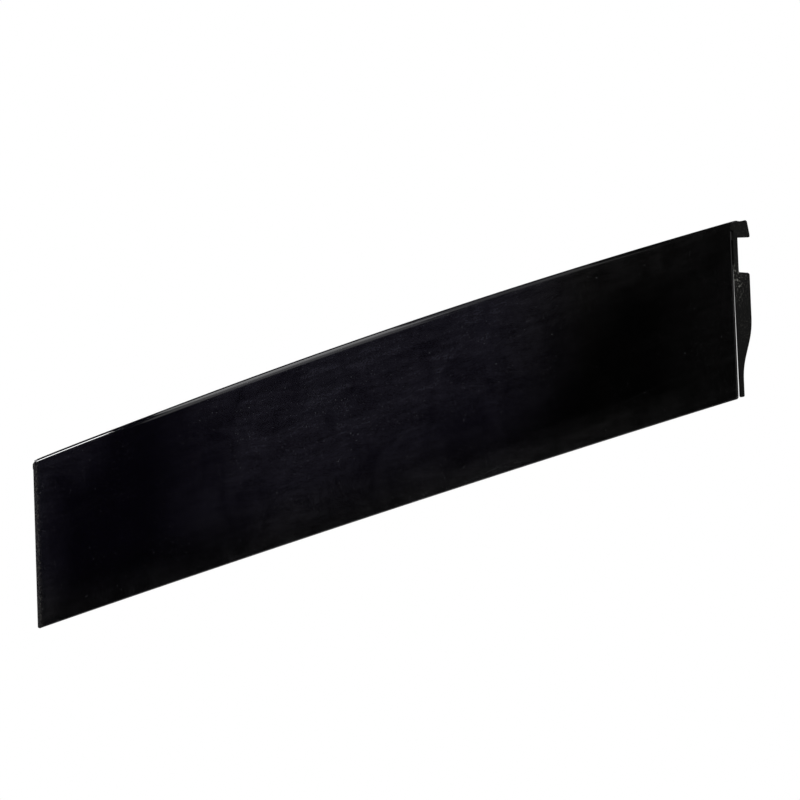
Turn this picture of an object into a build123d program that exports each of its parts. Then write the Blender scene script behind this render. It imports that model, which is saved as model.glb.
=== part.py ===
from build123d import *
import math
import os

# Toe-kick plate for a cabinet or appliance base. X runs along the plate, the glossy face looks
# towards -Y and Z is up. The origin is the bottom centre of the whole plate's box. Millimetres.

# Driving dimensions of the whole plate
OVERALL_LENGTH = 600.0
OVERALL_DEPTH = 13.7
END_HEIGHT = 100.0
CROWN = 6.1  # how far the top edge rises at mid length
CAMBER = 1.8  # how far the bottom edge rises at mid length

# Folded sheet of the face
SHEET = 1.5
BEND_RADIUS = 6.0  # outer radius of the bend along the top edge
RETURN_DEPTH = 11.0  # depth of the top return, from the face

# Pressed end plates, which stand just outside the ends of the face
PLATE = 1.0
HOOK_ROOT_DEPTH = 4.8  # from the face to the notch's wall
HOOK_SETBACK = 0.3  # from the face to the hook's front edge, which follows the top bend
HOOK_FRONT_ANGLE = 46.0  # how far round the bend the front edge goes, in degrees
HOOK_CORNER_DEPTH = 12.05
HOOK_TOP_HEIGHT = 101.2  # height of the rounded corner over the hook's tip
HOOK_LAND = 1.5  # upright stretch at the back of the hook's tip
BODY_DEPTH = 12.6
LEG_DEPTH = 5.2
NOTCH_BOTTOM = 70.9
NOTCH_TOP = 90.2
EDGE_RISE = 0.18  # slope of the hook's lower edge, rising to the back
NOTCH_BOTTOM_RISE = 0.1
LEG_BOTTOM_RISE = 0.25
TAPER_TOP = 46.5
TAPER_BOTTOM = 11.0
LEG_BOTTOM = 0.9
HOOK_CORNER_RADIUS = 1.2
BODY_CORNER_RADIUS = 1.3
LEG_CORNER_RADIUS = 0.8
SMALL_RADIUS = 0.6
SLIT_BOTTOM_WIDTH = 0.6  # the slit between face and end plate opens downwards from nothing

# Fixing tab of each end plate, bent in behind the face
TAB_REACH = 26.0  # how far the tab reaches in from the end of the face
TAB_RELIEF = 2.5  # clear strip between the tab's lower part and the end plate
TAB_BOTTOM = 48.0
TAB_BEND_LOW = 88.8
TAB_BEND_HIGH = 93.4
TAB_BEND_RADIUS = 1.2
RELIEF_SLOT = 0.2
TAB_CORNER = 3.0

# Weld studs and flange nuts, M4
STUD_RADIUS = 2.0
STUD_LENGTH = 6.5
STUD_TIP = 0.5
STUD_INSET = 12.0  # from the end of the face
STUD_HEIGHTS = (58.0, 78.0)
STUD_HOLE_RADIUS = 2.4
NUT_BORE_RADIUS = 2.02
NUT_ACROSS_FLATS = 7.0
NUT_HEIGHT = 4.0
NUT_FLANGE_RADIUS = 5.0
NUT_FLANGE_HEIGHT = 0.9

# Places worked out from the dimensions above
HALF_FACE = OVERALL_LENGTH / 2 - PLATE
FRONT = -OVERALL_DEPTH / 2
SLIT_SLOPE = SLIT_BOTTOM_WIDTH / (TAB_BEND_LOW - LEG_BOTTOM)


def face_plane(depth):
    """The plane parallel to the face, facing forward, at this depth behind it."""
    return Plane(origin=(0, FRONT + depth, 0), x_dir=(1, 0, 0), z_dir=(0, -1, 0))


def arc_height(x, end_height, rise):
    """Height at x of the circular arc that rises by `rise` between the ends of the face."""
    radius = (HALF_FACE**2 + rise**2) / (2 * rise)
    return end_height + rise - radius + math.sqrt(radius**2 - x**2)


def arched_band(low, high, overrun=0.0):
    """Sketch face between two arched lines, given as (height at the ends, rise) pairs."""
    reach = HALF_FACE + overrun
    with BuildSketch(mode=Mode.PRIVATE) as band:
        with BuildLine():
            ends = [arc_height(reach, *low), arc_height(reach, *high)]
            lower = ThreePointArc((-reach, ends[0]), (0, sum(low)), (reach, ends[0]))
            upper = ThreePointArc((reach, ends[1]), (0, sum(high)), (-reach, ends[1]))
            Line(lower @ 1, upper @ 0)
            Line(upper @ 1, lower @ 0)
        make_face()
    return band.sketch


BOTTOM_LINE = (0.0, CAMBER)
TOP_LINE = (END_HEIGHT, CROWN)
TOP_UNDERSIDE = (END_HEIGHT - SHEET, CROWN)

# Face, with the bend along its top edge and the return behind it
with BuildPart() as front_panel:
    with BuildSketch(face_plane(0)):
        add(arched_band(BOTTOM_LINE, TOP_LINE))
    extrude(amount=-RETURN_DEPTH)
    with BuildSketch(face_plane(SHEET)):
        add(arched_band((-SHEET, CAMBER), TOP_UNDERSIDE, overrun=SHEET))
    extrude(amount=-RETURN_DEPTH, mode=Mode.SUBTRACT)
    front_and_back = front_panel.faces().filter_by(Axis.Y).sort_by(SortBy.AREA)[-2:]
    back_of_face = front_and_back.sort_by(Axis.Y)[-1]
    fillet(back_of_face.edges().sort_by(Axis.Z)[-1], radius=BEND_RADIUS - SHEET)
    face = front_panel.faces().sort_by(Axis.Y)[0]
    fillet(face.edges().sort_by(Axis.Z)[-1], radius=BEND_RADIUS)
front_panel.part.label = "front_panel"

# Right end plate: hook, notch, body, S-shaped taper and leg, in side view
hook_root = (HOOK_ROOT_DEPTH, NOTCH_TOP)
hook_tip = (OVERALL_DEPTH, NOTCH_TOP + EDGE_RISE * (OVERALL_DEPTH - HOOK_ROOT_DEPTH))
hook_back = (OVERALL_DEPTH, hook_tip[1] + HOOK_LAND)
hook_corner = (HOOK_CORNER_DEPTH, HOOK_TOP_HEIGHT)
bend_centre = (BEND_RADIUS, END_HEIGHT - BEND_RADIUS)
notch_inner = (HOOK_ROOT_DEPTH, NOTCH_BOTTOM)
notch_outer = (BODY_DEPTH, NOTCH_BOTTOM + NOTCH_BOTTOM_RISE * (BODY_DEPTH - HOOK_ROOT_DEPTH))
leg_front = (SHEET + SLIT_BOTTOM_WIDTH, LEG_BOTTOM)
leg_back = (LEG_DEPTH, LEG_BOTTOM + LEG_BOTTOM_RISE * (LEG_DEPTH - leg_front[0]))
slit_top = (SHEET + SLIT_SLOPE * RELIEF_SLOT, TAB_BEND_LOW - RELIEF_SLOT)
bend_line = SHEET + TAB_BEND_RADIUS
relief = bend_line + RELIEF_SLOT
side_plane = Plane(origin=(HALF_FACE, FRONT, 0), x_dir=(0, 1, 0), z_dir=(1, 0, 0))
stud_places = [(HALF_FACE - STUD_INSET, height) for height in STUD_HEIGHTS]

with BuildPart() as right_hanger:
    with BuildSketch(side_plane) as outline:
        with BuildLine():
            front = CenterArc(bend_centre, BEND_RADIUS - HOOK_SETBACK, 180, -HOOK_FRONT_ANGLE)
            hook = Polyline(
                slit_top,
                (relief, slit_top[1]),
                (relief, TAB_BEND_LOW),
                (bend_line, TAB_BEND_LOW),
                (bend_line, TAB_BEND_HIGH),
                (relief, TAB_BEND_HIGH),
                (relief, TAB_BEND_HIGH + RELIEF_SLOT),
                (HOOK_SETBACK, TAB_BEND_HIGH + RELIEF_SLOT),
                front @ 0,
            )
            profile = Polyline(
                front @ 1,
                hook_corner,
                hook_back,
                hook_tip,
                hook_root,
                notch_inner,
                notch_outer,
                (BODY_DEPTH, TAPER_TOP),
            )
            taper = Spline(profile @ 1, (LEG_DEPTH, TAPER_BOTTOM), tangents=((0, -1), (0, -1)))
            Polyline(taper @ 1, leg_back, leg_front, slit_top)
        make_face()

        def corner(point):
            """The outline's vertex at this depth and height."""
            return outline.vertices().sort_by_distance(Vector(*point))[0]

        fillet(corner(hook_corner), radius=HOOK_CORNER_RADIUS)
        for point in (hook_tip, hook_root, notch_inner):
            fillet(corner(point), radius=SMALL_RADIUS)
        fillet(corner(notch_outer), radius=BODY_CORNER_RADIUS)
        for point in (leg_back, leg_front):
            fillet(corner(point), radius=LEG_CORNER_RADIUS)
    extrude(amount=PLATE)

    # Bend and upper strip of the tab, in plan
    with BuildSketch(Plane(origin=(0, FRONT, TAB_BEND_LOW))):
        with BuildLine():
            centre = (HALF_FACE + PLATE - TAB_BEND_RADIUS, bend_line)
            outer = CenterArc(centre, TAB_BEND_RADIUS, 0, -90)
            inner = CenterArc(centre, TAB_BEND_RADIUS - PLATE, 0, -90)
            tab_edge = HALF_FACE - TAB_REACH
            Line(outer @ 0, inner @ 0)
            Polyline(outer @ 1, (tab_edge, SHEET), (tab_edge, SHEET + PLATE), inner @ 1)
        make_face()
    extrude(amount=TAB_BEND_HIGH - TAB_BEND_LOW)

    # Lower part of the tab, which lies on the back of the face and takes the studs
    tab_width = TAB_REACH - TAB_RELIEF
    tab_height = TAB_BEND_LOW - TAB_BOTTOM
    with BuildSketch(face_plane(SHEET)) as tab:
        with Locations((tab_edge + tab_width / 2, TAB_BOTTOM + tab_height / 2)):
            Rectangle(tab_width, tab_height)
        fillet(tab.vertices().group_by(Axis.Y)[0], radius=TAB_CORNER)
        with Locations(*stud_places):
            Circle(STUD_HOLE_RADIUS, mode=Mode.SUBTRACT)
    extrude(amount=-PLATE)
right_hanger.part.label = "right_hanger"

# Two studs, welded to the back of the face and standing through the tab
with BuildPart() as right_studs:
    with BuildSketch(face_plane(SHEET)):
        with Locations(*stud_places):
            Circle(STUD_RADIUS)
    extrude(amount=-STUD_LENGTH)
    tips = right_studs.faces().filter_by(Axis.Y).group_by(Axis.Y)[-1]
    chamfer(tips.edges(), length=STUD_TIP)
right_studs.part.label = "right_studs"

# Two hexagonal flange nuts, tight against the tab
with BuildPart() as right_nuts:
    with BuildSketch(face_plane(SHEET + PLATE)):
        with Locations(*stud_places):
            Circle(NUT_FLANGE_RADIUS)
            Circle(NUT_BORE_RADIUS, mode=Mode.SUBTRACT)
    extrude(amount=-NUT_FLANGE_HEIGHT)
    with BuildSketch(face_plane(SHEET + PLATE)):
        with Locations(*stud_places):
            RegularPolygon(NUT_ACROSS_FLATS / 2, 6, major_radius=False)
            Circle(NUT_BORE_RADIUS, mode=Mode.SUBTRACT)
    extrude(amount=-NUT_HEIGHT)
right_nuts.part.label = "right_nuts"

# The left end mirrors the right
with BuildPart() as left_hanger:
    mirror(right_hanger.part, about=Plane.YZ)
left_hanger.part.label = "left_hanger"

with BuildPart() as left_studs:
    mirror(right_studs.part, about=Plane.YZ)
left_studs.part.label = "left_studs"

with BuildPart() as left_nuts:
    mirror(right_nuts.part, about=Plane.YZ)
left_nuts.part.label = "left_nuts"

os.makedirs("parts", exist_ok=True)
for piece in (front_panel, right_hanger, right_studs, right_nuts, left_hanger, left_studs, left_nuts):
    export_step(piece.part, f"parts/{piece.part.label}.step")
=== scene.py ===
"""Kick plate: gloss black folded panel on matt black hooked end plates. Units are metres."""

import math

import bmesh
import bpy
from mathutils import Matrix, Vector


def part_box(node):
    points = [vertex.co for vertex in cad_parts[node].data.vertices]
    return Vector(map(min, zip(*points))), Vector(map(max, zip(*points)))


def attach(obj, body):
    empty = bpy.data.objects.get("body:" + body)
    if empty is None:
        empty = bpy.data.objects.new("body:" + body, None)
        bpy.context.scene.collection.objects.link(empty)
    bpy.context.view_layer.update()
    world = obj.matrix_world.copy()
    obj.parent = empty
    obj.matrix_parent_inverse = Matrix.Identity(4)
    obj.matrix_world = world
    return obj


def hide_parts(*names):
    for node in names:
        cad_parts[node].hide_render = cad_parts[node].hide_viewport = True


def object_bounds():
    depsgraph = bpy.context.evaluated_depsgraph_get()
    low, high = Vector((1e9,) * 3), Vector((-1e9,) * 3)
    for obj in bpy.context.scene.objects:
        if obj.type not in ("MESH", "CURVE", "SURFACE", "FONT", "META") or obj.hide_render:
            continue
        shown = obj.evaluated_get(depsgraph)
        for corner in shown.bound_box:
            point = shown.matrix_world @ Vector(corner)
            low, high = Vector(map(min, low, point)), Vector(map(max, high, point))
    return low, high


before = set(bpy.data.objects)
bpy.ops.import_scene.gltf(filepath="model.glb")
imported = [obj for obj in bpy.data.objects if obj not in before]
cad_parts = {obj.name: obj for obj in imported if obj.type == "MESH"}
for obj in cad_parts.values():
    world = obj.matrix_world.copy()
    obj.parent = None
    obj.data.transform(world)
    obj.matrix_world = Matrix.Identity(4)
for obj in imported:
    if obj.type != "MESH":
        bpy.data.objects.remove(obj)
cad_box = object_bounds()

# Sizes of the folded sheet, as in the CAD model
SHEET = 0.0015
BEND_RADIUS = 0.006
END_HEIGHT = 0.100
CAMBER = 0.0018
FACE_LOW, FACE_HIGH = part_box("front_panel")
CROWN = FACE_HIGH.z - END_HEIGHT
HALF_FACE = FACE_HIGH.x
FRONT = FACE_LOW.y
RETURN_DEPTH = FACE_HIGH.y - FACE_LOW.y

# Rounding of the sheet's long edges and of its cut ends, and the first flat strip beside each round
EDGE_RADIUS = 0.0004
CUT_EDGE_RADIUS = 0.0003
STRIP = 0.0008

# How finely the panel is divided: along its length, where it eases back, and round its cut ends
LENGTH_STEPS = 96
EASE_STEPS = 12
ROUND_STEPS = 4

# How finely its section is divided: outside and inside the bend, and round the return's and bottom edges
BEND_STEPS = 28
INNER_BEND_STEPS = 20
RETURN_EDGE_STEPS = 4
BOTTOM_EDGE_STEPS = 6

# The face eases back a little at both ends, as a coated pressing does
ROLL_WIDTH = 0.006
ROLL_DEPTH = 0.0003

# The top line stands a little above its arc at the left end, and comes down to it over this length
LIFT = 0.0005
LIFT_LENGTH = 0.110

# The lower corners of the face are rounded off, and a bead of coating sits on the back of the cut ends
CORNER_RADIUS = 0.0012
BEAD = 0.00015

# End plates: facets flatter than the first angle merge, edges sharper than the second are rounded
PLATE_MERGE_DISTANCE = 0.000001
PLATE_FLAT_ANGLE = 1
PLATE_EDGE_ANGLE = 35
PLATE_EDGE_RADIUS = 0.0001
LEFT_SETBACK = 0.0009  # from the face back to the front of the left plate

# Coating bridges the narrow slot over the bend of each end plate's tab: (depth, height) of its corners
BRIDGE_LOW = (0.0012, 0.09335)
BRIDGE_HIGH = (0.0030, 0.09365)
BRIDGE_SETBACK = 0.0001

# M4 weld studs and flange nuts
THREAD_PITCH = 0.0007
THREAD_DEPTH = 0.0003
STUD_TIP = 0.0005
STUD_SIDES = 28
STEPS_PER_PITCH = 6
NUT_SIDES = 72
NUT_HALF_FLATS = 0.0035
NUT_BORE = 0.0021
NUT_FLANGE_RIM = 0.0004
NUT_FLANGE_TOP = 0.0011
NUT_FILLET = 0.00015
NUT_EDGE = 0.00008
NUT_CHAMFER_SLOPE = math.tan(math.radians(30))

# Edges sharper than these angles in degrees look crisp
PANEL_CRISP_ANGLE = 40
SMALL_PART_CRISP_ANGLE = 30


# ---------------------------------------------------------------- meshes


def new_object(name, mesh, materials):
    """A scene object of this mesh, with these materials in its slots."""
    piece = bpy.data.objects.new(name, mesh)
    bpy.context.scene.collection.objects.link(piece)
    for material in materials:
        mesh.materials.append(material)
    return piece


def shade(mesh, crisp_angle):
    """Smooth shading, with edges sharper than this angle in degrees kept crisp."""
    mesh.polygons.foreach_set("use_smooth", [True] * len(mesh.polygons))
    mesh.set_sharp_from_angle(angle=math.radians(crisp_angle))
    mesh.update()


def finished_mesh(work, name, crisp_angle):
    """The mesh under work as a shaded mesh of this name, its faces turned outwards."""
    bmesh.ops.recalc_face_normals(work, faces=work.faces)
    result = bpy.data.meshes.new(name)
    work.to_mesh(result)
    work.free()
    shade(result, crisp_angle)
    return result


def arc_height(x, end_height, rise):
    """Height at x of the circular arc that rises by `rise` between the ends of the face."""
    radius = (HALF_FACE**2 + rise**2) / (2 * rise)
    return end_height + rise - radius + math.sqrt(radius**2 - x**2)


def arc_points(centre, radius, start, end, steps):
    """Points (depth, height) on an arc, angles in degrees from the +depth direction."""
    angles = [math.radians(start + (end - start) * i / steps) for i in range(steps + 1)]
    return [(centre[0] + radius * math.cos(a), centre[1] + radius * math.sin(a)) for a in angles]


def sheet_section():
    """The folded sheet's section: (depth, height, from the top edge?) round the whole outline.

    Heights are measured up from the bottom line, or from the top line where marked."""
    bend = (BEND_RADIUS, -BEND_RADIUS)
    edge = EDGE_RADIUS
    rear = RETURN_DEPTH - edge
    top = arc_points((rear, edge - SHEET), edge, -90, 0, RETURN_EDGE_STEPS)
    top += arc_points((rear, -edge), edge, 0, 90, RETURN_EDGE_STEPS)
    top += [(BEND_RADIUS + STRIP, 0.0)]
    top += arc_points(bend, BEND_RADIUS, 90, 180, BEND_STEPS)
    top += [(0.0, -BEND_RADIUS - STRIP)]
    bottom = [(0.0, edge + STRIP)]
    bottom += arc_points((edge, edge), edge, 180, 270, BOTTOM_EDGE_STEPS)
    bottom += arc_points((SHEET - edge, edge), edge, 270, 360, BOTTOM_EDGE_STEPS)
    bottom += [(SHEET, edge + STRIP)]
    back = [(SHEET, -BEND_RADIUS - STRIP)]
    back += arc_points(bend, BEND_RADIUS - SHEET, 180, 90, INNER_BEND_STEPS)
    back += [(BEND_RADIUS + STRIP, -SHEET)]
    section = [(depth, height, True) for depth, height in top]
    section += [(depth, height, False) for depth, height in bottom]
    section += [(depth, height, True) for depth, height in back]
    return section


def is_behind(depth, height, from_top):
    """Whether a point of the section lies on the back of the sheet."""
    return depth >= SHEET and not (from_top and height > -SHEET)


def ease_back(x, depth):
    """How far a point of the outer surface moves back near the ends of the face."""
    share = max(0.0, (abs(x) - HALF_FACE + ROLL_WIDTH) / ROLL_WIDTH)
    return ROLL_DEPTH * share**2 * max(0.0, 1 - depth / BEND_RADIUS)


def corner_rise(x):
    """How far the bottom edge rises at x to round off the lower corners."""
    into = max(0.0, abs(x) - HALF_FACE + CORNER_RADIUS)
    return CORNER_RADIUS - math.sqrt(CORNER_RADIUS**2 - into**2)


def left_lift(x):
    """How far the top line stands above its arc towards the left end."""
    share = min(1.0, max(0.0, (-x - HALF_FACE + LIFT_LENGTH) / LIFT_LENGTH))
    return LIFT * share**2 * (3 - 2 * share)


def section_stations():
    """(x, inset) of each section: evenly spaced, closer where the face eases back, rounded at the ends."""
    straight = HALF_FACE - ROLL_WIDTH
    middle = [(-straight + 2 * straight * i / LENGTH_STEPS, 0.0) for i in range(LENGTH_STEPS + 1)]
    right = []
    for i in range(1, EASE_STEPS + 1):
        right.append((straight + (ROLL_WIDTH - CUT_EDGE_RADIUS) * i / EASE_STEPS, 0.0))
    for i in range(1, ROUND_STEPS + 1):
        angle = math.radians(90 * i / ROUND_STEPS)
        reach = HALF_FACE - CUT_EDGE_RADIUS * (1 - math.sin(angle))
        right.append((reach, CUT_EDGE_RADIUS * (1 - math.cos(angle))))
    left = [(-x, inset) for x, inset in reversed(right)]
    return left + middle + right


def inward_normals(outline):
    """Unit normals of a closed outline of (depth, height) points, pointing into the sheet."""
    count = len(outline)
    normals = []
    for i in range(count):
        before, after = Vector(outline[i - 1]), Vector(outline[(i + 1) % count])
        run = after - before
        normals.append(Vector((-run.y, run.x)).normalized())
    area = sum(
        outline[i][0] * outline[(i + 1) % count][1] - outline[(i + 1) % count][0] * outline[i][1]
        for i in range(count)
    )
    return normals if area > 0 else [-n for n in normals]


def panel_mesh():
    """The whole folded panel as one closed mesh of sections along X."""
    section = sheet_section()
    flat = [(d, h + (END_HEIGHT if from_top else 0.0)) for d, h, from_top in section]
    normals = inward_normals(flat)
    mesh = bmesh.new()
    rings = []
    for x, inset in section_stations():
        top = arc_height(x, END_HEIGHT, CROWN) + left_lift(x)
        bottom = arc_height(x, 0.0, CAMBER) + corner_rise(x)
        ring = []
        for (depth, height, from_top), normal in zip(section, normals):
            if is_behind(depth, height, from_top):
                shift = -normal * inset * BEAD / CUT_EDGE_RADIUS
            else:
                shift = normal * inset + Vector((ease_back(x, depth), 0.0))
            y = depth + shift.x
            z = height + shift.y + (top if from_top else bottom)
            ring.append(mesh.verts.new((x, FRONT + y, z)))
        rings.append(ring)
    join_rings(mesh, rings, False)
    return finished_mesh(mesh, "front_panel_skin", PANEL_CRISP_ANGLE)


def join_rings(mesh, rings, endless):
    """Surface through rings of vertices; endless joins the last ring to the first, else it is capped."""
    count = len(rings[0])
    following = rings[1:] + rings[:1] if endless else rings[1:]
    for here, there in zip(rings, following):
        for i in range(count):
            j = (i + 1) % count
            mesh.faces.new((here[i], here[j], there[j], there[i]))
    if not endless:
        mesh.faces.new(rings[0])
        mesh.faces.new(list(reversed(rings[-1])))


def fastener_places(node):
    """The axes (x, z) of a node's two fasteners, their radius, and where they start and end in Y."""
    low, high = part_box(node)
    radius = (high.x - low.x) / 2
    middle = (low.x + high.x) / 2
    return [(middle, low.z + radius), (middle, high.z - radius)], radius, low.y, high.y


def fasteners(node, name, material, build):
    """An object with the node's two fasteners, each added to the mesh by build."""
    mesh = bmesh.new()
    axes, radius, start, end = fastener_places(node)
    for axis in axes:
        build(mesh, axis, radius, start, end)
    return new_object(name, finished_mesh(mesh, name, SMALL_PART_CRISP_ANGLE), [material])


def add_stud(mesh, axis, radius, start, end):
    """Threaded shaft with a chamfered tip."""
    steps = math.ceil((end - start) / THREAD_PITCH * STEPS_PER_PITCH)
    rings = []
    for i in range(steps + 1):
        y = start + (end - start) * i / steps
        ring = []
        for k in range(STUD_SIDES):
            turn = k / STUD_SIDES
            phase = ((y - start) / THREAD_PITCH + turn) % 1.0
            reach = radius - THREAD_DEPTH * abs(2 * phase - 1)
            reach = min(reach, radius - STUD_TIP + end - y)
            angle = math.tau * turn
            x, z = axis[0] + reach * math.cos(angle), axis[1] + reach * math.sin(angle)
            ring.append(mesh.verts.new((x, y, z)))
        rings.append(ring)
    join_rings(mesh, rings, False)


def add_nut(mesh, axis, radius, start, end):
    """Hexagonal nut on a coned flange, its corners and bore chamfered."""
    height = end - start
    rings = []
    for k in range(NUT_SIDES):
        angle = math.tau * k / NUT_SIDES
        from_flat = (angle + math.pi / 6) % (math.pi / 3) - math.pi / 6
        wall = NUT_HALF_FLATS / math.cos(from_flat)
        shoulder = height - (wall - NUT_HALF_FLATS) * NUT_CHAMFER_SLOPE
        bevel = height - shoulder + NUT_EDGE
        profile = [
            (NUT_BORE, 0.0),
            (radius, 0.0),
            (radius, NUT_FLANGE_RIM),
            (wall + NUT_FILLET, NUT_FLANGE_TOP),
            (wall, NUT_FLANGE_TOP + NUT_FILLET),
            (wall, shoulder - NUT_EDGE),
            (wall - bevel, height),
            (NUT_BORE + STUD_TIP, height),
            (NUT_BORE, height - STUD_TIP),
        ]
        ring = []
        for reach, rise in profile:
            x, z = axis[0] + reach * math.cos(angle), axis[1] + reach * math.sin(angle)
            ring.append(mesh.verts.new((x, start + rise, z)))
        rings.append(ring)
    join_rings(mesh, rings, True)


def add_bridge(mesh, side):
    """The coating in the slot of the end plate on this side, 1 or -1, a little within the plate's faces."""
    inner = side * (HALF_FACE + BRIDGE_SETBACK)
    outer = side * (cad_box[1].x - BRIDGE_SETBACK)
    section = [BRIDGE_LOW, (BRIDGE_HIGH[0], BRIDGE_LOW[1]), BRIDGE_HIGH, (BRIDGE_LOW[0], BRIDGE_HIGH[1])]
    rings = []
    for x in (inner, outer):
        rings.append([mesh.verts.new((x, FRONT + depth, height)) for depth, height in section])
    join_rings(mesh, rings, False)


def softened_plate(node, name, material, front):
    """A copy of an end plate's CAD shape, cut back to `front`, its facets merged and its edges rounded."""
    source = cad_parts[node]
    mesh = bmesh.new()
    mesh.from_mesh(source.data)
    add_bridge(mesh, math.copysign(1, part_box(node)[0].x))
    for vert in mesh.verts:
        vert.co.y = max(vert.co.y, front)
    bmesh.ops.remove_doubles(mesh, verts=mesh.verts, dist=PLATE_MERGE_DISTANCE)
    flat_angle = math.radians(PLATE_FLAT_ANGLE)
    bmesh.ops.dissolve_limit(mesh, angle_limit=flat_angle, verts=mesh.verts, edges=mesh.edges)
    piece = new_object(name, finished_mesh(mesh, name, SMALL_PART_CRISP_ANGLE), [material])
    bevel = piece.modifiers.new("edges", "BEVEL")
    bevel.width = PLATE_EDGE_RADIUS
    bevel.segments = 3
    bevel.limit_method = "ANGLE"
    bevel.angle_limit = math.radians(PLATE_EDGE_ANGLE)
    bevel.harden_normals = True
    return piece


# ---------------------------------------------------------------- materials


class Nodes:
    """Small helper that adds nodes to one material and wires them."""

    def __init__(self, name):
        self.material = bpy.data.materials.new(name)
        self.material.use_nodes = True
        self.tree = self.material.node_tree
        self.shader = self.tree.nodes["Principled BSDF"]

    def add(self, kind, **values):
        """A node of this kind; values set its properties."""
        node = self.tree.nodes.new(kind)
        for key, value in values.items():
            setattr(node, key, value)
        return node

    def wire(self, source, target):
        """A link from an output socket to an input socket."""
        self.tree.links.new(source, target)

    def place(self, scale):
        """Object-space coordinates in metres, stretched by scale (x, y, z)."""
        coords = self.add("ShaderNodeTexCoord")
        mapping = self.add("ShaderNodeMapping")
        mapping.inputs["Scale"].default_value = scale
        self.wire(coords.outputs["Object"], mapping.inputs["Vector"])
        return mapping.outputs["Vector"]

    def noise(self, scale, detail=3.0, roughness=0.5, distortion=0.0):
        """Noise from 0 to 1 at `scale` cycles per metre along each axis."""
        node = self.add("ShaderNodeTexNoise")
        node.inputs["Scale"].default_value = 1.0
        node.inputs["Detail"].default_value = detail
        node.inputs["Roughness"].default_value = roughness
        node.inputs["Distortion"].default_value = distortion
        self.wire(self.place(scale), node.inputs["Vector"])
        return node.outputs["Fac"]

    def remap(self, value, low, high, to_low=0.0, to_high=1.0):
        """value taken from [low, high] to [to_low, to_high], clamped."""
        node = self.add("ShaderNodeMapRange", clamp=True)
        for socket, number in zip(node.inputs[1:5], (low, high, to_low, to_high)):
            socket.default_value = number
        self.wire(value, node.inputs["Value"])
        return node.outputs["Result"]

    def math(self, operation, a, b):
        """One arithmetic step on two values, each a socket or a number."""
        node = self.add("ShaderNodeMath", operation=operation)
        for socket, value in zip(node.inputs, (a, b)):
            if isinstance(value, (int, float)):
                socket.default_value = value
            else:
                self.wire(value, socket)
        return node.outputs["Value"]

    def multiply(self, first, *others):
        """Product of values, each a socket or a number."""
        for other in others:
            first = self.math("MULTIPLY", first, other)
        return first

    def largest(self, first, *others):
        """Largest of values, each a socket or a number."""
        for other in others:
            first = self.math("MAXIMUM", first, other)
        return first

    def mix(self, amount, a, b):
        """Colour a where amount is 0 and b where it is 1; each a socket or an RGB triple."""
        node = self.add("ShaderNodeMix", data_type="RGBA")
        self.wire(amount, node.inputs["Factor"])
        for index, colour in ((6, a), (7, b)):
            if isinstance(colour, tuple):
                node.inputs[index].default_value = (*colour, 1.0)
            else:
                self.wire(colour, node.inputs[index])
        return node.outputs[2]

    def bump(self, height, distance, normal=None):
        """Bump of `distance` metres for a height from 0 to 1, on top of another bump."""
        node = self.add("ShaderNodeBump")
        node.inputs["Distance"].default_value = distance
        self.wire(height, node.inputs["Height"])
        if normal is not None:
            self.wire(normal, node.inputs["Normal"])
        return node.outputs["Normal"]

    def grit(self, scale, low, high):
        """Small irregular specks where a fine noise at `scale` per metre passes from low to high."""
        return self.remap(self.noise((scale, scale, scale), detail=2, roughness=0.7), low, high)

    def along(self, axis, of="Object"):
        """One axis of the object-space position in metres, or of the surface's Normal."""
        coords = self.add("ShaderNodeTexCoord")
        split = self.add("ShaderNodeSeparateXYZ")
        self.wire(coords.outputs[of], split.inputs[0])
        return split.outputs[axis]

    def strokes(self, scale, tilt, low, high):
        """Long soft marks, stretched along X and tilted in the face by `tilt` degrees."""
        coords = self.add("ShaderNodeTexCoord")
        turn = self.add("ShaderNodeVectorRotate", rotation_type="Y_AXIS")
        turn.inputs["Angle"].default_value = math.radians(tilt)
        self.wire(coords.outputs["Object"], turn.inputs["Vector"])
        stretch = self.add("ShaderNodeMapping")
        stretch.inputs["Scale"].default_value = scale
        self.wire(turn.outputs["Vector"], stretch.inputs["Vector"])
        node = self.add("ShaderNodeTexNoise")
        node.inputs["Scale"].default_value = 1.0
        node.inputs["Detail"].default_value = 5.0
        node.inputs["Roughness"].default_value = 0.6
        node.inputs["Distortion"].default_value = 0.15
        self.wire(stretch.outputs["Vector"], node.inputs["Vector"])
        return self.remap(node.outputs["Fac"], low, high)


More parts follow.
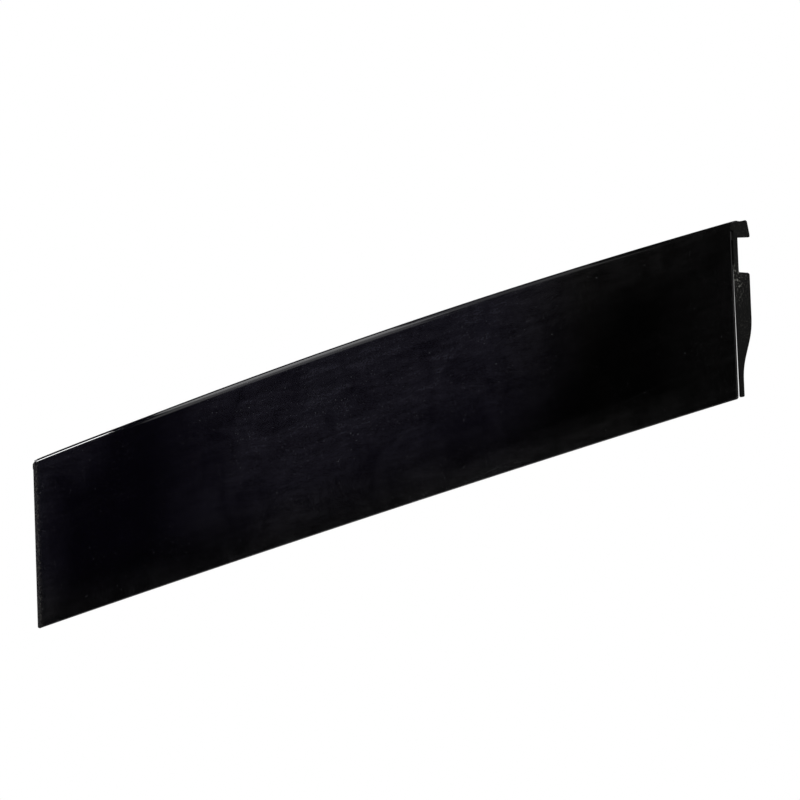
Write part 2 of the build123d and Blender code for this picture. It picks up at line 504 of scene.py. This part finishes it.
def haze_and_painted_reflection(n, x, z):
    """How thick the handling haze and painted reflection lie on the face, from 0 to 1: zones of painted
    reflection, clouded, grained and wiped.
    """
    # painted reflection: a patch left of middle, the left and right ends, a band below the top edge (dimmed
    # over a short stretch near the left) and a band along the bottom
    leaning = n.math("SUBTRACT", x, z)
    middle = n.multiply(n.remap(x, -0.20, -0.10), n.remap(leaning, 0.15, 0.03))
    painted_reflection_patch = n.multiply(middle, n.remap(z, 0.0, 0.09, 0.6, 1.0))
    left_end = n.remap(x, -0.262, -0.288, 0.0, 0.60)
    right_end = n.remap(x, 0.225, 0.285, 0.0, 0.30)
    beside_dim_spot = n.largest(
        n.remap(x, -0.225, -0.250, 0.2, 1.0),
        n.remap(x, -0.19, -0.13, 0.2, 1.0),
    )
    upper_rim = n.multiply(n.remap(z, 0.065, 0.095, 0.0, 0.55), beside_dim_spot)
    rim_reach = n.multiply(n.remap(x, -0.28, 0.05, 0.3, 1.0), n.remap(x, 0.16, 0.25, 1.0, 0.5))
    lower_rim = n.multiply(n.remap(z, 0.022, 0.004, 0.0, 1.0), rim_reach)
    zones = n.largest(painted_reflection_patch, left_end, right_end, upper_rim, lower_rim, 0.04)
    cloud = n.remap(
        n.noise((34, 34, 38), detail=5, roughness=0.6, distortion=0.9), 0.36, 0.64, 0.45, 1.12
    )
    wiped = n.multiply(
        n.remap(n.strokes((8, 8, 330), 3, 0.35, 0.70), 0.0, 1.0, 0.55, 1.05),
        n.remap(n.strokes((12, 12, 420), -9, 0.35, 0.68), 0.0, 1.0, 0.65, 1.05),
    )
    grain = n.remap(n.noise((800, 800, 1200), detail=2, roughness=0.8), 0.32, 0.68, 0.55, 1.35)
    return n.multiply(cloud, grain, wiped, zones)


def face_dust(n, x):
    """Where dust, lint and hairlines show on the face, from 0 to 1."""
    hairlines = n.multiply(
        n.strokes((7, 7, 1300), 5, 0.62, 0.70),
        n.remap(n.noise((14, 14, 40), detail=2), 0.5, 0.62),
    )
    patches = n.remap(n.noise((30, 30, 45), detail=3), 0.40, 0.60, 0.3, 1.0)
    settled = n.multiply(patches, n.remap(x, 0.10, 0.20, 1.0, 0.7))
    fine_dust = n.multiply(n.grit(1000, 0.67, 0.745), settled)
    lint = n.multiply(n.grit(480, 0.74, 0.77), 0.8)
    return n.largest(fine_dust, lint, n.multiply(hairlines, 0.15))


def enamel():
    """High-gloss black coating: a film of handling haze and painted reflection, painted bluish on the left,
    with wipe marks, hairlines and dust.
    """
    n = Nodes("gloss_black_enamel")
    x, z = n.along("X"), n.along("Z")
    haze_and_reflection = haze_and_painted_reflection(n, x, z)
    # painted reflection: the face is tinted blue left of x 0.10 to 0.18, less so near the bottom edge
    bluish_reflection = n.multiply(n.remap(x, 0.18, 0.10), n.remap(z, 0.005, 0.035, 0.2, 1.0))
    tint = n.mix(bluish_reflection, (0.0330, 0.0325, 0.0330), (0.0325, 0.0312, 0.0450))
    clean = n.mix(bluish_reflection, (0.0004, 0.0004, 0.0004), (0.0013, 0.0008, 0.0036))
    hazed_and_reflecting = n.mix(haze_and_reflection, clean, tint)
    dust = face_dust(n, x)
    dusty = n.mix(dust, hazed_and_reflecting, (0.085, 0.085, 0.090))
    # light warm grey specks in a strip along the left end of the face only
    speck_pattern = n.remap(n.noise((750, 750, 500), detail=4), 0.48, 0.62)
    left_end_specks = n.multiply(n.remap(x, -0.2925, -0.2965), speck_pattern)
    n.wire(n.mix(left_end_specks, dusty, (0.060, 0.056, 0.050)), n.shader.inputs["Base Color"])
    marks = n.largest(dust, left_end_specks)
    gloss = n.remap(haze_and_reflection, 0.0, 1.0, 0.05, 0.16)
    polished = n.remap(n.along("Z", of="Normal"), 0.35, 0.65, 1.0, 0.45)
    dulled = n.largest(n.multiply(gloss, polished), n.remap(marks, 0.0, 1.0, 0.0, 0.6))
    n.wire(dulled, n.shader.inputs["Roughness"])
    ripple = n.bump(n.noise((9, 9, 14), detail=1), 0.0003)
    peel = n.bump(n.noise((420, 420, 420), detail=2), 0.0000035, normal=ripple)
    n.wire(n.bump(marks, 0.00002, normal=peel), n.shader.inputs["Normal"])
    n.shader.inputs["IOR"].default_value = 1.5
    n.shader.inputs["Coat Weight"].default_value = 0.3
    n.shader.inputs["Coat Roughness"].default_value = 0.03
    return n.material


def powder_coat():
    """Matt black textured coating, its light spots painted lighter towards the top, with scuffs and dust,
    and crumbs below the right plate's notch.
    """
    n = Nodes("matt_black_coating")
    z = n.along("Z")
    mottle = n.remap(n.noise((480, 480, 480), detail=4, roughness=0.7), 0.32, 0.68)
    # painted light: the mottle's light spots grow lighter from z 0.03 to 0.085, towards the top of the
    # plates
    painted_top_light = n.mix(n.remap(z, 0.03, 0.085), (0.0034, 0.0034, 0.0032), (0.0070, 0.0070, 0.0062))
    colour = n.mix(mottle, (0.0003, 0.0003, 0.0003), painted_top_light)
    scuffs = n.remap(n.noise((900, 900, 140), detail=4, roughness=0.65), 0.62, 0.74)
    patches = n.remap(n.noise((90, 90, 60), detail=2), 0.45, 0.6, 0.1, 0.5)
    right_plate = n.remap(n.along("X"), HALF_FACE - 0.0004, HALF_FACE)
    band = n.multiply(n.remap(z, 0.050, 0.066), n.remap(z, 0.078, 0.070))
    below_notch = n.multiply(band, right_plate)
    dust = n.multiply(n.grit(1100, 0.56, 0.66), n.largest(patches, below_notch))
    marks = n.largest(n.remap(scuffs, 0.0, 1.0, 0.0, 0.3), dust)
    dusty = n.mix(marks, colour, (0.085, 0.083, 0.078))
    beside_slit = n.multiply(below_notch, n.remap(n.along("Y"), FRONT + 0.0075, FRONT + 0.0045))
    crumbs = n.multiply(n.grit(640, 0.56, 0.61), beside_slit)
    n.wire(n.mix(crumbs, dusty, (0.24, 0.24, 0.22)), n.shader.inputs["Base Color"])
    n.wire(n.remap(mottle, 0.0, 1.0, 0.52, 0.70), n.shader.inputs["Roughness"])
    grain = n.bump(n.noise((2600, 2600, 2600), detail=2), 0.00006)
    n.wire(n.bump(marks, 0.00002, normal=grain), n.shader.inputs["Normal"])
    n.shader.inputs["Specular IOR Level"].default_value = 0.14
    return n.material


def zinc():
    """Bright zinc plating, faintly clouded and turned."""
    n = Nodes("plated_steel")
    cloud = n.noise((900, 900, 900), detail=3)
    n.wire(n.mix(cloud, (0.52, 0.52, 0.50), (0.72, 0.71, 0.67)), n.shader.inputs["Base Color"])
    n.wire(n.remap(cloud, 0.2, 0.8, 0.22, 0.38), n.shader.inputs["Roughness"])
    n.shader.inputs["Metallic"].default_value = 1.0
    n.wire(n.bump(n.noise((4000, 4000, 4000), detail=1), 0.00001), n.shader.inputs["Normal"])
    return n.material


def floor_paint():
    """Pale matt floor that shows only from above, so a low camera looks past it."""
    n = Nodes("pale_floor")
    tone = n.noise((1.5, 1.5, 1.5), detail=2)
    n.wire(n.mix(tone, (0.80, 0.80, 0.79), (0.84, 0.84, 0.83)), n.shader.inputs["Base Color"])
    n.shader.inputs["Roughness"].default_value = 0.8
    side = n.add("ShaderNodeNewGeometry")
    clear = n.add("ShaderNodeBsdfTransparent")
    choice = n.add("ShaderNodeMixShader")
    n.wire(side.outputs["Backfacing"], choice.inputs[0])
    n.wire(n.shader.outputs["BSDF"], choice.inputs[1])
    n.wire(clear.outputs["BSDF"], choice.inputs[2])
    n.wire(choice.outputs["Shader"], n.tree.nodes["Material Output"].inputs["Surface"])
    return n.material


# ---------------------------------------------------------------- stage

FLOOR_HALF = 14.0
CAMERA_AZIMUTH = 49.21
CAMERA_ELEVATION = -14.89
CAMERA_ROLL = -2.07
CAMERA_DISTANCE = 7.658
CAMERA_LENS = 624.7
AIM = Vector((0.0231, FRONT, 0.0615))

# Studio surroundings: what lights the plate, and what the gloss mirrors from dark to bright side
WORLD_AROUND = 0.35
WORLD_DARK = 0.004
WORLD_BRIGHT = 0.35
BRIGHT_SIDE = (math.sqrt(0.5), math.sqrt(0.5), 0.0)
FADE_START, FADE_END = 0.1, 0.95


def add_floor():
    """Square floor, level with the bottom of the plate."""
    mesh = bpy.data.meshes.new("floor")
    corners = [(-FLOOR_HALF, -FLOOR_HALF), (FLOOR_HALF, -FLOOR_HALF)]
    corners += [(FLOOR_HALF, FLOOR_HALF), (-FLOOR_HALF, FLOOR_HALF)]
    mesh.from_pydata([(x, y, cad_box[0].z) for x, y in corners], [], [(0, 1, 2, 3)])
    new_object("floor", mesh, [floor_paint()])


def add_camera():
    """Very long lens, low and to the right of the plate, at the photograph's viewing angle."""
    azimuth, elevation = math.radians(CAMERA_AZIMUTH), math.radians(CAMERA_ELEVATION)
    back = Vector(
        (
            math.sin(azimuth) * math.cos(elevation),
            -math.cos(azimuth) * math.cos(elevation),
            math.sin(elevation),
        )
    )
    data = bpy.data.cameras.new("camera")
    data.lens = CAMERA_LENS
    data.clip_end = 100
    camera = bpy.data.objects.new("camera", data)
    bpy.context.scene.collection.objects.link(camera)
    turn = (-back).to_track_quat("-Z", "Y").to_matrix()
    roll = Matrix.Rotation(math.radians(CAMERA_ROLL), 3, "Z")
    camera.matrix_world = Matrix.Translation(AIM + back * CAMERA_DISTANCE) @ (turn @ roll).to_4x4()
    bpy.context.scene.camera = camera


def add_panel_light(name, centre, turn, size, radiance):
    """Rectangular light of this size, turned by these XYZ angles in degrees from facing down."""
    data = bpy.data.lights.new(name, "AREA")
    data.shape = "RECTANGLE"
    data.size, data.size_y = size
    data.energy = radiance * math.pi * size[0] * size[1]
    light = bpy.data.objects.new(name, data)
    bpy.context.scene.collection.objects.link(light)
    light.location = centre
    light.rotation_euler = [math.radians(angle) for angle in turn]
    light.visible_camera = False


def add_world():
    """White to the camera, soft grey all round, and dark where the glossy face would mirror it."""
    world = bpy.data.worlds.new("studio")
    bpy.context.scene.world = world
    world.use_nodes = True
    tree = world.node_tree
    tree.nodes.clear()

    def background(strength, colour=None):
        """Background shader, white or of this colour."""
        node = tree.nodes.new("ShaderNodeBackground")
        node.inputs["Strength"].default_value = strength
        node.inputs["Color"].default_value = (1, 1, 1, 1)
        if colour is not None:
            tree.links.new(colour, node.inputs["Color"])
        return node

    def choose(amount, first, second):
        """The first shader where amount is 0, the second where it is 1."""
        node = tree.nodes.new("ShaderNodeMixShader")
        tree.links.new(amount, node.inputs[0])
        tree.links.new(first.outputs[0], node.inputs[1])
        tree.links.new(second.outputs[0], node.inputs[2])
        return node

    coords = tree.nodes.new("ShaderNodeTexCoord")
    towards = tree.nodes.new("ShaderNodeVectorMath")
    towards.operation = "DOT_PRODUCT"
    towards.inputs[1].default_value = BRIGHT_SIDE
    tree.links.new(coords.outputs["Generated"], towards.inputs[0])
    fade = tree.nodes.new("ShaderNodeMapRange")
    fade.interpolation_type = "SMOOTHSTEP"
    for socket, value in zip(fade.inputs[1:5], (FADE_START, FADE_END, WORLD_DARK, WORLD_BRIGHT)):
        socket.default_value = value
    tree.links.new(towards.outputs["Value"], fade.inputs["Value"])
    path = tree.nodes.new("ShaderNodeLightPath")
    mirrored = background(1.0, fade.outputs["Result"])
    lit = choose(path.outputs["Is Glossy Ray"], background(WORLD_AROUND), mirrored)
    final = choose(path.outputs["Is Camera Ray"], lit, background(1.0))
    output = tree.nodes.new("ShaderNodeOutputWorld")
    tree.links.new(final.outputs[0], output.inputs["Surface"])


def add_lights():
    """Soft overhead light, and panels whose mirror images shape the gloss."""
    add_panel_light("overhead", (0.9, 0.4, 2.2), (-10, 22, 0), (1.8, 1.8), 2.0)
    # seen in the bend along the top edge: short and bright at the left end, long and soft beyond
    add_panel_light("edge_left", (-0.94, -0.070, 0.64), (8, 0, 0), (0.16, 0.11), 7.0)
    add_panel_light("edge_band", (-0.77, -0.12, 0.72), (0, 0, 0), (0.26, 0.42), 0.9)
    add_panel_light("edge_fade", (-1.06, -0.65, 0.72), (0, 0, -37), (0.24, 0.80), 0.4)
    add_panel_light("edge_tail", (-0.54, -0.12, 0.72), (0, 0, 0), (0.20, 0.42), 0.15)
    # seen in the eased left end of the face
    add_panel_light("left_side", (-1.57, -0.68, 0.40), (75, 0, -62), (0.35, 0.5), 0.12)


# ---------------------------------------------------------------- assembly


def put(piece, node):
    """The piece takes the place of this CAD node."""
    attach(piece, "root")
    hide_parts(node)


gloss_black = enamel()
matt_black = powder_coat()
plating = zinc()

put(new_object("front_panel_skin", panel_mesh(), [gloss_black]), "front_panel")
for side, front in (("right", FRONT), ("left", FRONT + LEFT_SETBACK)):
    hanger = softened_plate(f"{side}_hanger", f"{side}_hanger_plate", matt_black, front)
    put(hanger, f"{side}_hanger")
    studs = fasteners(f"{side}_studs", f"{side}_studs_threaded", plating, add_stud)
    put(studs, f"{side}_studs")
    nuts = fasteners(f"{side}_nuts", f"{side}_nuts_flanged", plating, add_nut)
    put(nuts, f"{side}_nuts")

add_floor()
add_world()
add_lights()
add_camera()
bpy.context.scene.view_settings.view_transform = "Standard"
